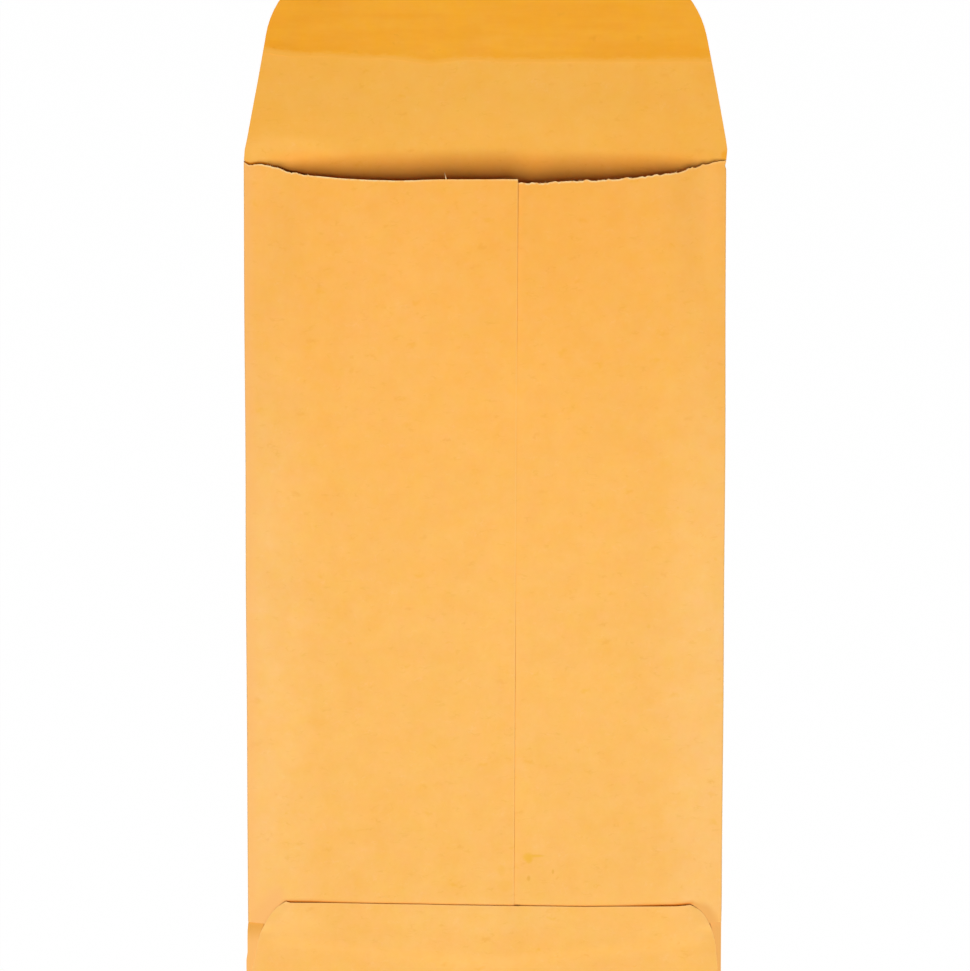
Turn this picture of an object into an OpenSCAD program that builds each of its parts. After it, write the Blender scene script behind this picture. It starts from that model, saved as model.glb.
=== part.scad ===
// Open-end paper envelope with a glued centre seam, lying flat with its seam side up
// and its closure flap folded open.
// X runs across the envelope, Y from the bottom fold to the closure flap, and Z is up.
// The origin is on the surface that the envelope lies on, under the middle of the whole sheet.

/* [Paper] */
// Thickness of the paper
paper_t = 0.15; // [0.08:0.01:0.25]
// Radius of the folds, at the middle of the paper
fold_r = 0.2; // [0.18:0.01:0.5]
// Gap between two layers that lie on each other
layer_gap = 0.04; // [0.02:0.01:0.08]

/* [Body] */
// Width over the side folds
env_w = 85.7; // [60:0.1:120]
// Length from the bottom fold to the crease of the closure flap
env_h = 152.4; // [110:0.1:240]
// How far each side panel reaches past the centre line
seam_lap = 5.9; // [3:0.1:10]
// Height of the side panels' lower edges at the side folds
side_low = 15.5; // [12:0.1:17]
// Height of the side panels' lower edges at the seam
seam_low = 10; // [8:0.1:12]

/* [Mouth] */
// Depth of the throat below the crease, on the under side panel
throat_depth = 4.1; // [1:0.1:15]
// How much shallower the throat is on the over side panel
throat_step = 0.45; // [0:0.05:0.8]
// Height that the side panels bow up to at the middle of the mouth
mouth_rise = 5.4; // [0.5:0.1:12]
// Fullness of the bow across the envelope, where 2 is a parabola
bow_power = 2.8; // [1.6:0.1:5]
// Fullness of the throat's curve, where 2 is a parabola
throat_power = 3; // [2:0.1:8]

/* [Closure flap] */
// Height of the closure flap above its crease
flap_h = 35; // [25:0.1:50]
// Height above the crease where the sides of the closure flap begin to lean in
flap_shoulder = 2; // [0:0.1:5]
// Angle at which the sides of the closure flap lean in
flap_lean = 10.9; // [2:0.1:20]
// Radius of the corners of the closure flap
flap_corner_r = 16; // [6:0.1:20]
// Distance from the crease to the lower edge of the gum
gum_start = 18; // [8:0.1:24]
// Thickness of the dry gum
gum_t = 0.04; // [0.02:0.01:0.1]

/* [Bottom flap] */
// Height of the bottom flap above the bottom fold
tuck_h = 18.8; // [18:0.1:26]
// Angle at which the sides of the bottom flap lean in
tuck_lean = 7; // [2:0.1:12]
// Radius of the corners of the bottom flap
tuck_corner_r = 12.7; // [6:0.1:15]
// Angle at which the corner's arc runs into the upper edge
tuck_corner_turn = 54; // [35:1:80]
// Height that the corners of the bottom flap lift off the side panels
corner_lift = 0.25; // [0:0.05:1]

/* [Glue] */
// Width of the glue line under the seam
seam_glue_w = 9; // [4:0.1:9]
// Distance from the throat to the upper end of the seam's glue
seam_glue_end = 6; // [2:0.1:20]
// Width of the glue line under the upper edge of the bottom flap
tuck_glue_w = 2; // [1:0.1:2.4]
// Distance from the edges of the bottom flap to its glue
tuck_glue_inset = 1; // [0.5:0.1:2]

/* [Hidden] */
kraft = "#FCBC66";
gum_brown = "#F2A834";
flap_arc_fn = 120;
fold_steps = 6;
panel_steps = 9;
length_steps = 18;
climb_steps = 3;
lap_steps = 4;
tuck_steps = 8;
corner_steps = 8;
// Middle of the paper in a side panel that lies flat, and the rise of one more layer
flat_z = paper_t / 2 + 2 * fold_r;
layer_rise = paper_t + layer_gap;
// Where the flat front panel ends and the side folds and the bottom fold begin
fold_x = env_w / 2 - paper_t / 2 - fold_r;
fold_y = paper_t / 2 + fold_r;
// A layer that climbs onto another is up this far before that one's edge
edge_clear = 0.3;
// Widths over which layers climb onto the under panel at the seam, and onto the side panels
seam_climb_w = 6;
tuck_climb_w = 2.6;
climb_x = seam_lap + edge_clear + seam_climb_w;
// Fall of the side panels' lower edges for each millimetre across
low_slope = (side_low - seam_low) / (fold_x + seam_lap);
// The bow dies out just above the bottom flap
bow_start = tuck_h + 2;
// Centre and first point of the closure flap's corner arc
flap_arc_y = flap_h - flap_corner_r;
flap_arc_x = env_w / 2
    - (flap_corner_r + (flap_arc_y - flap_shoulder) * sin(flap_lean)) / cos(flap_lean);
flap_side_x = flap_arc_x + flap_corner_r * cos(flap_lean);
flap_side_y = flap_arc_y + flap_corner_r * sin(flap_lean);
// Centre and first point of the bottom flap's corner arc, and half of its straight upper edge
tuck_arc_y = tuck_h - tuck_corner_r * sin(tuck_corner_turn);
tuck_side_y = tuck_arc_y + tuck_corner_r * sin(tuck_lean);
tuck_side_x = env_w / 2 - (tuck_side_y - fold_y) * tan(tuck_lean);
tuck_arc_x = tuck_side_x - tuck_corner_r * cos(tuck_lean);
tuck_top_x = tuck_arc_x + tuck_corner_r * cos(tuck_corner_turn);
// Width and height of the bottom flap's lifted corners
lift_w = 5;
lift_h = 4;

function ease(f) = let (c = min(1, max(0, f))) c * c * (3 - 2 * c);
function unit(v) = v / norm(v);

// How far a layer that crosses the seam has climbed, as a share of one layer
function seam_climb(x) = ease((climb_x - abs(x)) / seam_climb_w);

// Bow of the side panels, from nothing above the bottom flap to its full height at the mouth
function bow(x, y) = mouth_rise
    * (1 - pow(min(1, abs(x) / fold_x), bow_power))
    * ease((y - bow_start) / (env_h - bow_start));

// Lower edge and throat of a side panel that hangs on the fold at positive x
function low_edge(x) = side_low - low_slope * (fold_x - min(x, fold_x));
function throat_edge(x, over) = env_h
    - (throat_depth - (over ? throat_step : 0))
    * (1 - pow(min(1, abs(x) / fold_x), throat_power));

// Middle of the paper in a side panel
function panel_z(x, y, over) = flat_z + bow(x, y) + (over ? layer_rise * seam_climb(x) : 0);
function panel_xs() = concat(
    [for (k = [1:panel_steps]) fold_x - (fold_x - climb_x) * k / panel_steps],
    [for (k = [1:climb_steps]) climb_x - seam_climb_w * k / climb_steps],
    [for (k = [0:lap_steps]) seam_lap * (1 - 2 * k / lap_steps)]);
function along(x, over, k) =
    low_edge(x) + (throat_edge(x, over) - low_edge(x)) * k / length_steps;

// A side fold and its panel, as rows of points along the envelope on the middle of the paper
function side_fold_grid() = [for (a = [0:180 / fold_steps:180])
    let (x = fold_x + fold_r * sin(a))
    [for (k = [0:length_steps]) [x, along(x, false, k), paper_t / 2 + fold_r * (1 - cos(a))]]];
function side_panel_grid(over) = [for (x = panel_xs())
    [for (k = [0:length_steps]) let (y = along(x, over, k)) [x, y, panel_z(x, y, over)]]];

// Half width of the bottom flap at a height above the bottom fold
function tuck_half(y) = y <= fold_y
    ? env_w / 2
    : y < tuck_side_y
        ? env_w / 2 - (y - fold_y) * tan(tuck_lean)
        : tuck_arc_x + sqrt(max(0, pow(tuck_corner_r, 2) - pow(y - tuck_arc_y, 2)));

// The bottom flap climbs over the lower edges of the side panels and over the seam
function tuck_climb(x, y) = ease(1
    + (y - low_edge(abs(x)) + 2 * seam_lap * low_slope + edge_clear) / tuck_climb_w);
function tuck_lift(x, y) = corner_lift
    * ease((abs(x) - tuck_top_x + lift_w) / lift_w)
    * ease((y - tuck_h + lift_h) / lift_h);
function tuck_z(x, y) = flat_z + bow(x, y) + tuck_lift(x, y)
    + layer_rise * tuck_climb(x, y) * (1 + seam_climb(x));

// Columns of the bottom flap: fixed ones in the middle, and then out to its leaning sides
tuck_inner_x = tuck_top_x - lift_w - 1;
tuck_inner_xs = concat(
    [for (k = [0:lap_steps / 2]) seam_lap * 2 * k / lap_steps],
    [for (k = [0:climb_steps - 1]) climb_x - seam_climb_w * (1 - k / climb_steps)],
    [for (k = [0:tuck_steps / 2]) climb_x + (tuck_inner_x - climb_x) * 2 * k / tuck_steps]);
function tuck_half_xs(y) = concat(
    tuck_inner_xs,
    [for (k = [1:lap_steps]) tuck_inner_x + (tuck_half(y) - tuck_inner_x) * k / lap_steps]);
function tuck_xs(y) = let (half = tuck_half_xs(y), n = len(half) - 1)
    concat([for (k = [n:-1:1]) -half[k]], half);
function tuck_grid() = concat(
    [for (a = [0:180 / fold_steps:180])
        let (y = fold_y - fold_r * sin(a))
        [for (x = tuck_xs(y)) [x, y, paper_t / 2 + fold_r * (1 - cos(a))]]],
    [for (k = [1:tuck_steps])
        let (y = fold_y + (tuck_side_y - fold_y) * k / tuck_steps)
        [for (x = tuck_xs(y)) [x, y, tuck_z(x, y)]]],
    [for (k = [1:corner_steps])
        let (a = tuck_lean + (tuck_corner_turn - tuck_lean) * k / corner_steps,
             y = tuck_arc_y + tuck_corner_r * sin(a))
        [for (x = tuck_xs(y)) [x, y, tuck_z(x, y)]]]);

// Direction straight through the paper at a point of a grid.
// The first row joins the flat front panel, where that is straight up.
function through(g, i, j) = i == 0
    ? [0, 0, 1]
    : unit(cross(
        g[min(i + 1, len(g) - 1)][j] - g[i - 1][j],
        g[i][min(j + 1, len(g[0]) - 1)] - g[i][max(j - 1, 0)]));
function offset_grid(g, d) = [for (i = [0:len(g) - 1])
    [for (j = [0:len(g[0]) - 1]) g[i][j] + through(g, i, j) * d]];

// A closed solid between two grids of points that have the same rows and columns
module slab(lower, upper) {
    rows = len(lower);
    cols = len(lower[0]);
    top = rows * cols;
    points = concat([for (row = lower) each row], [for (row = upper) each row]);
    at = function(i, j) i * cols + j;
    quads = concat(
        [for (i = [0:rows - 2]) for (j = [0:cols - 2])
            [top + at(i, j), top + at(i, j + 1), top + at(i + 1, j + 1), top + at(i + 1, j)]],
        [for (i = [0:rows - 2]) for (j = [0:cols - 2])
            [at(i, j), at(i + 1, j), at(i + 1, j + 1), at(i, j + 1)]],
        [for (j = [0:cols - 2])
            [top + at(0, j + 1), top + at(0, j), at(0, j), at(0, j + 1)]],
        [for (j = [0:cols - 2]) let (i = rows - 1)
            [top + at(i, j), top + at(i, j + 1), at(i, j + 1), at(i, j)]],
        [for (i = [0:rows - 2])
            [top + at(i, 0), top + at(i + 1, 0), at(i + 1, 0), at(i, 0)]],
        [for (i = [0:rows - 2]) let (j = cols - 1)
            [top + at(i + 1, j), top + at(i, j), at(i, j), at(i + 1, j)]]);
    faces = [for (q = quads) each [[q[0], q[1], q[2]], [q[0], q[2], q[3]]]];
    polyhedron(points, faces);
}

// Paper of even thickness around the grid on its middle
module paper(grid) {
    slab(offset_grid(grid, -paper_t / 2), offset_grid(grid, paper_t / 2));
}

module closure_outline() {
    polygon([
        [-env_w / 2, 0], [env_w / 2, 0], [env_w / 2, flap_shoulder],
        [flap_side_x, flap_side_y], [flap_arc_x, flap_h],
        [-flap_arc_x, flap_h], [-flap_side_x, flap_side_y], [-env_w / 2, flap_shoulder]]);
    for (side = [-1, 1])
        translate([side * flap_arc_x, flap_arc_y])
            circle(r = flap_corner_r, $fn = flap_arc_fn);
}

// The front panel and the open closure flap, in one flat piece
module front_and_closure() {
    linear_extrude(paper_t) {
        translate([-fold_x, fold_y])
            square([2 * fold_x, env_h - fold_y]);
        translate([-env_w / 2, fold_y])
            square([env_w, side_low - fold_y]);
        translate([0, env_h])
            closure_outline();
    }
}

module side_panel(over) {
    paper(concat(side_fold_grid(), side_panel_grid(over)));
}

module bottom_flap() {
    paper(tuck_grid());
}

// Glue that joins two layers, from the middle of one sheet to the middle of the other
module seam_glue() {
    glue_xs = [for (k = [0:lap_steps]) seam_glue_w * (k / lap_steps - 0.5)];
    start = tuck_h;
    end = env_h - throat_depth - seam_glue_end;
    ys = [for (k = [0:length_steps]) start + (end - start) * k / length_steps];
    slab(
        [for (x = glue_xs) [for (y = ys) [x, y, panel_z(x, y, false)]]],
        [for (x = glue_xs) [for (y = ys) [x, y, panel_z(x, y, true)]]]);
}

module tuck_glue(from_x, to_x, over) {
    glue_xs = [for (k = [0:tuck_steps]) from_x + (to_x - from_x) * k / tuck_steps];
    ys = [tuck_h - tuck_glue_inset - tuck_glue_w, tuck_h - tuck_glue_inset];
    slab(
        [for (x = glue_xs) [for (y = ys) [x, y, panel_z(x, y, over)]]],
        [for (x = glue_xs) [for (y = ys) [x, y, tuck_z(x, y)]]]);
}

// Moves what is built from the bottom fold so that the origin is under the middle of the sheet
module centred() {
    translate([0, -(env_h + flap_h) / 2, 0])
        children();
}

module paper_sheet() {
    color(kraft)
        centred() {
            front_and_closure();
            side_panel(over = false);
            mirror([1, 0, 0])
                side_panel(over = true);
            bottom_flap();
            seam_glue();
            tuck_glue(-tuck_inner_x, seam_lap - tuck_glue_inset, true);
            tuck_glue(climb_x, tuck_inner_x, false);
        }
}

module seal_gum() {
    color(gum_brown)
        centred()
            translate([0, env_h, paper_t])
                linear_extrude(gum_t)
                    intersection() {
                        closure_outline();
                        translate([-env_w / 2, gum_start])
                            square([env_w, flap_h - gum_start]);
                    }
}

paper_sheet();
seal_gum();
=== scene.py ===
"""A kraft paper envelope with a glued centre seam and a gummed closure flap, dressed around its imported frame.

Sizes are in millimetres, as the envelope would be drawn, and become metres where a mesh is made.
X runs across the envelope, Y from the bottom fold (0) to the closure flap, and Z up from the table.
"""

import math

import bmesh
import bpy
import numpy as np
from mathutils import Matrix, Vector

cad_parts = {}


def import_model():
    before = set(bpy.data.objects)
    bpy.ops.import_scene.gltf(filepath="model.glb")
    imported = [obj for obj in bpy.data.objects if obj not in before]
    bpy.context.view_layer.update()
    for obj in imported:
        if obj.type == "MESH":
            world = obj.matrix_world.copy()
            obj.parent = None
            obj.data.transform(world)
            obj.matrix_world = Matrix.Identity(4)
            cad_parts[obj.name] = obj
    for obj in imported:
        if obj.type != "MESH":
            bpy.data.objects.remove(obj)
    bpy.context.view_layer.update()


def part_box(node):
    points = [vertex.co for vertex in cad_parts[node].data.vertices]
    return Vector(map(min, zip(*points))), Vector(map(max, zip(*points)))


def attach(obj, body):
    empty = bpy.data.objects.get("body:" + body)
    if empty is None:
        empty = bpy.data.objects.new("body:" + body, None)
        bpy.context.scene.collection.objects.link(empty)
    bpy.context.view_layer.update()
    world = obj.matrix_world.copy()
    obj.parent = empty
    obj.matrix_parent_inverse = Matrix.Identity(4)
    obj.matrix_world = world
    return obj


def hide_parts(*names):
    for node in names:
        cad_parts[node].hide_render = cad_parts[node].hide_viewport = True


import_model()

MM = 0.001

# Outline of the frame's sheet
sheet_low, sheet_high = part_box("paper_sheet")
ENV_W = (sheet_high.x - sheet_low.x) / MM
SHEET_LENGTH = (sheet_high.y - sheet_low.y) / MM
BOTTOM_Y = sheet_low.y / MM

# Paper
PAPER_T = 0.15
FOLD_R = 0.2
LAYER_GAP = 0.04

# Body
SEAM_LAP = 5.9
SEAM_DRIFT = 0.6
SEAM_SHIFT = 0.1
SIDE_LOW = 15.5
SEAM_LOW = 10.0
BROAD_RIPPLE = 0.06
FINE_RIPPLE = 0.018

# Mouth, which is pinched from so far out and by so much
THROAT_DEPTH = 4.1
THROAT_STEP = 0.45
MOUTH_RISE = 5.4
BOW_POWER = 2.8
THROAT_POWER = 3.0
LEFT_END_DIP = 0.35
RAG_DEPTH = 0.46
SIDE_BULGE = 0.3
PINCH_OVER = (31, 0.5)
PINCH_UNDER = (32, 0.42)

# Closure flap
FLAP_H = 35.0
FLAP_SHOULDER = 2.0
FLAP_LEAN = math.radians(10.9)
FLAP_CORNER_R = 16.0
FLAP_SPRING = 0.3
FLAP_CURL = 0.3
FLAP_RIPPLE = 0.05
GUM_START = 17.3
GUM_T = 0.04
GUM_INSET = 0.05

# Bottom flap
TUCK_H = 18.8
TUCK_LEAN = math.radians(7)
TUCK_CORNER_R = 12.7
TUCK_CORNER_TURN = math.radians(54)
TUCK_SHEAR = 0.033
TUCK_LIFT = 0.03
TUCK_LEFT_LIFT = 0.16
TUCK_RIGHT_LIFT = 0.2
TUCK_CRIMP = 0.02
TUCK_THINNED = 0.6
PRESSED_GAP = 0.02

# The chance errors of this envelope are lists of knots, each a place and a value in millimetres.
# How far the seam's free edge gapes, how far the panel under it sags, and how dark the painted shade along the
# seam's line is, from 0 to 1, by the height above the bottom fold
SEAM_GAPE = [
    (16, 0.0), (19, 0.03), (23, 0.12), (30, 0.24), (36, 0.12), (45, 0.14), (52, 0.08),
    (59, 0.23), (66, 0.14), (74, 0.03), (110, 0.03), (122, 0.1), (138, 0.08),
]
SEAM_SAG = [(128, 0), (138, 0.08), (143, 0.16), (147, 0.32), (151, 0.42)]
SEAM_DARK = [
    (19, 0.16), (24, 0.14), (30, 0.22), (36, 0.02), (45, 0.13), (50, 0.2), (54, 0.14), (59, 0.27),
    (66, 0.26), (72, 0.09), (84, 0.12), (110, 0.08), (130, 0.14), (138, 0.22), (145, 0.55), (150, 0.9),
]

# How far the closure flap lies to the right, by the height above the crease
FLAP_SHIFT = [(0, 0), (1.9, 0.16), (3.6, 0.24), (14, 0.29), (21, 0.25), (28.5, 0.08), (35, 0)]

# How far the bottom flap's edge lies too high, from left to right
TUCK_SKEW = [
    (-38.5, 0.95), (-36.8, 0.6), (-35.8, 0.32), (-30, 0.28), (-19, 0.05), (3, -0.26),
    (17, -0.48), (34, -0.34), (36.4, -0.12), (37.6, 0.24), (39, 0.7),
]

# How far the cut at the throat lies too high, and how ragged it is, from left to right
THROAT_OVER = [
    (-43, -0.9), (-41, -0.36), (-39.6, 0.16), (-38.2, 0.02), (-36.6, -0.08),
    (-34, -0.44), (-25, -0.4), (-15, -0.24), (-8, 0.1), (6, 0.14),
]
THROAT_UNDER = [
    (-6, 0.02), (6.6, 0.02), (7.0, -0.12), (11.0, -0.14), (11.5, 0.06), (24, 0.0),
    (30, -0.04), (34, -0.16), (36, 0.06), (39, 0.22), (43, 0.18),
]
ROUGH_OVER = [(-41, 0.3), (-37, 1), (-31, 1), (-29, 0.12), (6, 0.12)]
ROUGH_UNDER = [(6, 0.3), (8, 0.9), (38, 1), (41, 0.3)]

# How far the gum's lower edge lies above its start, from left to right
GUM_EDGE = [
    (-39, 2.2), (-38, 1.8), (-35, 1.35), (-31, 0.95), (-27, 1.15), (-24, 0.85), (-20, 0.65), (-17, 0.75),
    (-13, 0.2), (-9.5, -0.25), (-6, 0.05), (-3.5, 0.4), (-1.5, 0.4), (2, 0.05), (40, 0.08),
]

# Steps of the grids
COLUMNS = 92
FOLD_STEPS = 8
PANEL_COLUMNS = 190
LENGTH_ROWS = 66
FLAP_ROWS = 22
FLAP_ARC_ROWS = 14
FOOT_ROWS = 12
TUCK_ROWS = 10
TUCK_ARC_ROWS = 16
GUM_ROWS = 24

# Loose fibres, and limits for the meshes
FIBRES = 46
FIBRE_SIDES = 6
FIBRE_STEPS = 6
WELD = 0.002
SHARP_ANGLE = math.radians(50)

# Derived places
ENV_H = SHEET_LENGTH - FLAP_H
FOLD_X = ENV_W / 2 - PAPER_T / 2 - FOLD_R
FOLD_Y = PAPER_T / 2 + FOLD_R
FLAT_Z = PAPER_T / 2 + 2 * FOLD_R
LAYER_RISE = PAPER_T + LAYER_GAP
EDGE_CLEAR = 0.3
SEAM_CLIMB_W = 6.0
TUCK_CLIMB_W = 2.6
CLIMB_X = SEAM_LAP + EDGE_CLEAR + SEAM_CLIMB_W
LOW_SLOPE = (SIDE_LOW - SEAM_LOW) / (FOLD_X + SEAM_LAP)
BOW_START = TUCK_H + 2
FLAP_ARC_Y = FLAP_H - FLAP_CORNER_R
FLAP_ARC_X = ENV_W / 2 - (
    FLAP_CORNER_R + (FLAP_ARC_Y - FLAP_SHOULDER) * math.sin(FLAP_LEAN)
) / math.cos(FLAP_LEAN)
FLAP_SIDE_Y = FLAP_ARC_Y + FLAP_CORNER_R * math.sin(FLAP_LEAN)
TUCK_ARC_Y = TUCK_H - TUCK_CORNER_R * math.sin(TUCK_CORNER_TURN)
TUCK_SIDE_Y = TUCK_ARC_Y + TUCK_CORNER_R * math.sin(TUCK_LEAN)
TUCK_SIDE_X = ENV_W / 2 - (TUCK_SIDE_Y - FOLD_Y) * math.tan(TUCK_LEAN)
TUCK_ARC_X = TUCK_SIDE_X - TUCK_CORNER_R * math.cos(TUCK_LEAN)
TUCK_TOP_X = TUCK_ARC_X + TUCK_CORNER_R * math.cos(TUCK_CORNER_TURN)

# Distance written where no cut edge is near
FAR = 9.0


def ease(f):
    c = np.clip(f, 0, 1)
    return c * c * (3 - 2 * c)


def waves(x, y, length, seed, count=7):
    """Smooth, seeded ripple of about -1 to 1 whose waves are about one length long."""
    rng = np.random.default_rng(seed)
    total = np.zeros(np.broadcast(x, y).shape)
    for _ in range(count):
        angle = rng.uniform(0, math.tau)
        turn = math.tau / (length * rng.uniform(0.7, 1.6))
        phase = rng.uniform(0, math.tau)
        total = total + np.sin(turn * (x * math.cos(angle) + y * math.sin(angle)) + phase)
    return total / math.sqrt(count * 2)


def between(t, knots):
    """Value at t on the straight lines between knots of a place and a value."""
    places, values = zip(*knots)
    return np.interp(t, places, values)


def torn(t, step, seed):
    """Ragged profile of 0 to 1 along t, as a blade leaves on fibrous paper."""
    rng = np.random.default_rng(seed)
    knots = np.arange(-ENV_W, ENV_W, step)
    return np.interp(t, knots, rng.uniform(0, 1, len(knots)) ** 2)


# Height of each layer


def seam_climb(x):
    return ease((CLIMB_X - np.abs(x)) / SEAM_CLIMB_W)


def bow(x, y):
    across = 1 - np.minimum(1, np.abs(x) / FOLD_X) ** BOW_POWER
    return MOUTH_RISE * across * ease((y - BOW_START) / (ENV_H - BOW_START))


def ripple(x, y):
    """Slight waviness of the upper layers, which dies out at the folds and by the mouth."""
    inside = ease((FOLD_X - np.abs(x)) / 6) * ease(y / 12) * (1 - 0.7 * ease((y - 115) / 35))
    return inside * (BROAD_RIPPLE * waves(x, y, 38, 11) + FINE_RIPPLE * waves(x, y, 13, 12))


def seam_gape(x, y):
    """The free edge of the over panel stands off the seam where the glue has let go."""
    return between(y, SEAM_GAPE) * ease((3.2 - (x + SEAM_LAP)) / 3.2)


def seam_sag(x, y):
    """The under panel hangs below the over panel where the mouth gapes, and bulges beside it."""
    bulge = SIDE_BULGE * ease((x - 7) / 6) * ease((40 - x) / 10) * ease((y - 110) / 40)
    return between(y, SEAM_SAG) * ease((12 - x) / 6) - bulge


def mouth_pinch(x, y, over):
    """Close to its ends the mouth opens less than its even bow would."""
    inward, depth = PINCH_OVER if over else PINCH_UNDER
    return depth * ease((x - inward) / 6) * ease((42.2 - x) / 3.6) * ease((y - 118) / 34)


def low_edge(x):
    return SIDE_LOW - LOW_SLOPE * (FOLD_X - np.minimum(x, FOLD_X))


def seam_x(y):
    """Where the free edge of the over panel lies, which isn't quite square to the crease."""
    down = np.clip((ENV_H - THROAT_DEPTH - y) / (ENV_H - THROAT_DEPTH - SEAM_LOW), 0, 1)
    return SEAM_LAP - SEAM_SHIFT - SEAM_DRIFT * down


def seam_dark(y):
    """How dark the painted shade along the seam is, in the step under the over panel's free edge."""
    return between(y, SEAM_DARK)


def throat_edge(x, over):
    depth = THROAT_DEPTH - (THROAT_STEP if over else 0)
    return ENV_H - depth * (1 - np.minimum(1, np.abs(x) / FOLD_X) ** THROAT_POWER)


def panel_z(x, y, over):
    lap = LAYER_RISE * seam_climb(x) + seam_gape(x, y) if over else -seam_sag(x, y)
    return FLAT_Z + bow(x, y) - mouth_pinch(x, y, over) + ripple(-x if over else x, y) + lap


def tuck_climb(x, y):
    return ease(1 + (y - low_edge(np.abs(x)) + 2 * SEAM_LAP * LOW_SLOPE + EDGE_CLEAR) / TUCK_CLIMB_W)


def tuck_seam_climb(x):
    """The bottom flap follows the over panel, and drops off its free edge more steeply."""
    return np.where(x < 0, seam_climb(x), ease((SEAM_LAP + 0.3 - x) / 1.3))


def tuck_thickness(x, y):
    """Share of the paper's thickness that is left where the curved edges are glued and pressed."""
    near = ease(1 - (tuck_half(y) - np.abs(x)) / 0.9) * ease((np.abs(x) - TUCK_TOP_X + 1) / 1.5)
    return 1 - TUCK_THINNED * near * ease(y / 3)


def tuck_z(x, y):
    """Middle of the bottom flap, whose corners lift and whose ends are pressed onto the front sheet."""
    upper = ease((y - TUCK_H + 6) / 6)
    right = ease((y - TUCK_H + 9) / 9)
    lift = TUCK_LIFT * upper + TUCK_LEFT_LIFT * ease((-x - 27) / 8) * upper
    lift = lift + TUCK_RIGHT_LIFT * ease((x - 20) / 16) * right
    lift = lift * (1 - ease((np.abs(x) - TUCK_TOP_X + 0.4) / 2.2))
    layers = LAYER_RISE * tuck_climb(x, y) * (1 + tuck_seam_climb(x))
    loose = FLAT_Z + bow(x, y) + ripple(x, y) + lift + layers
    low = 1.5 * PAPER_T + PRESSED_GAP
    pressed = ease(1 - (tuck_half(y) - np.abs(x)) / 3.5)
    pressed = pressed * ease((low_edge(np.abs(x)) - 0.25 - y) / 1.1) * ease((y - 1) / 4)
    thinned = 1 - tuck_thickness(x, y)
    crimp = TUCK_CRIMP * thinned / TUCK_THINNED * (1 - pressed)
    return loose + (low - loose) * pressed - crimp - PAPER_T / 2 * thinned


def flap_z(x, v):
    """Middle of the closure flap, v above the crease: it springs up and then curls a little."""
    out = np.clip(v / FLAP_H, 0, 1)
    spring = FLAP_SPRING * ease((v - 0.5) / 9)
    rippled = FLAP_RIPPLE * ease(v / 8) * (1 + waves(x, v, 30, 21))
    return PAPER_T / 2 + spring + FLAP_CURL * out**2 + rippled


# Outlines


def flap_half(v):
    slant = ENV_W / 2 - np.maximum(0, v - FLAP_SHOULDER) * math.tan(FLAP_LEAN)
    arc = FLAP_ARC_X + np.sqrt(np.maximum(0, FLAP_CORNER_R**2 - (v - FLAP_ARC_Y) ** 2))
    return np.where(v < FLAP_SIDE_Y, slant, arc)


def flap_shift(v):
    """The flap was cut slightly to the right of the folds."""
    return between(v, FLAP_SHIFT)


def tuck_half(y):
    slant = ENV_W / 2 - (y - FOLD_Y) * math.tan(TUCK_LEAN)
    arc = TUCK_ARC_X + np.sqrt(np.maximum(0, TUCK_CORNER_R**2 - (y - TUCK_ARC_Y) ** 2))
    return np.where(y < TUCK_SIDE_Y, slant, arc)


def tuck_skew(x, y):
    """The bottom flap was cut and folded slightly out of square."""
    return between(x, TUCK_SKEW) * ease((y - 6) / (TUCK_H - 6))


def tuck_distance(x, y):
    """How far a place lies outside the outline of the bottom flap."""
    height = y - tuck_skew(x, y)
    out = np.abs(x - TUCK_SHEAR * (height - FOLD_Y))
    slant = (out - tuck_half(height)) * math.cos(TUCK_LEAN)
    arc = np.hypot(out - TUCK_ARC_X, height - TUCK_ARC_Y) - TUCK_CORNER_R
    side = np.where(height < TUCK_SIDE_Y, slant, arc)
    return np.clip(np.maximum(height - TUCK_H, np.where(out < TUCK_ARC_X, -FAR, side)), -FAR, FAR)


def throat_stray(x, over):
    """How far the cut at the throat strays from its even curve, and its ragged bits."""
    side = -x if over else x
    even = between(side, THROAT_OVER if over else THROAT_UNDER)
    rough = between(side, ROUGH_OVER if over else ROUGH_UNDER)
    bits = torn(side, 0.3, 5) * 0.6 + torn(side, 1.1, 6) * 0.4
    return even + rough * RAG_DEPTH * (bits - 0.33)


def throat_height(x, y):
    """How far a place lies above the cut at the throat, on the inside of the front sheet."""
    over = x < 0
    out = np.abs(x)
    cut = np.where(over, throat_edge(out, True), throat_edge(out, False))
    stray = np.where(over, throat_stray(out, True), throat_stray(out, False))
    return np.clip(y - cut - stray, -FAR, FAR)


def fold_stray(x, y):
    """How far the side folds and the ends of the bottom flap stray outward from straight."""
    right = 0.14 * np.sin(math.pi * np.clip((y - 28) / 118, 0, 1)) - 0.07 * ease((20 - y) / 6)
    right = right - 0.2 * np.exp(-(((ENV_H - 0.8 - y) / 0.5) ** 2))
    left = 0.14 * ease((14.8 - y) / 1.2) + 0.2 * ease((9.4 - y) / 0.6)
    stray = np.where(x > 0, right, -left) + 0.05 * waves(y, 0 * y, 45, 31)
    return stray * (np.minimum(1.05, np.abs(x) / FOLD_X)) ** 8


# Grids of points on the middle of the paper.
# Each point is x, y, z, the distances to the nearest cut edge, to the throat, to the seam and to
# the bottom flap, how dark the seam's line is there, and the share of the paper's thickness.

LAYERS = ("cut_edge", "throat", "seam", "bottom_flap", "seam_dark", "thickness")


def points(x, y, z, edge, lip=FAR, seam=FAR, flap=FAR, dark=0.0, share=1.0):
    values = (x, y, z, edge, lip, seam, flap, dark, share)
    shape = np.broadcast(*values).shape
    return np.stack([np.broadcast_to(a, shape) for a in values], axis=-1)


def across():
    """Places of the columns from -1 to 1, closer together near both sides."""
    even = np.linspace(-1, 1, COLUMNS + 1)
    return even + 0.12 * np.sin(math.pi * even) / math.pi


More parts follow.
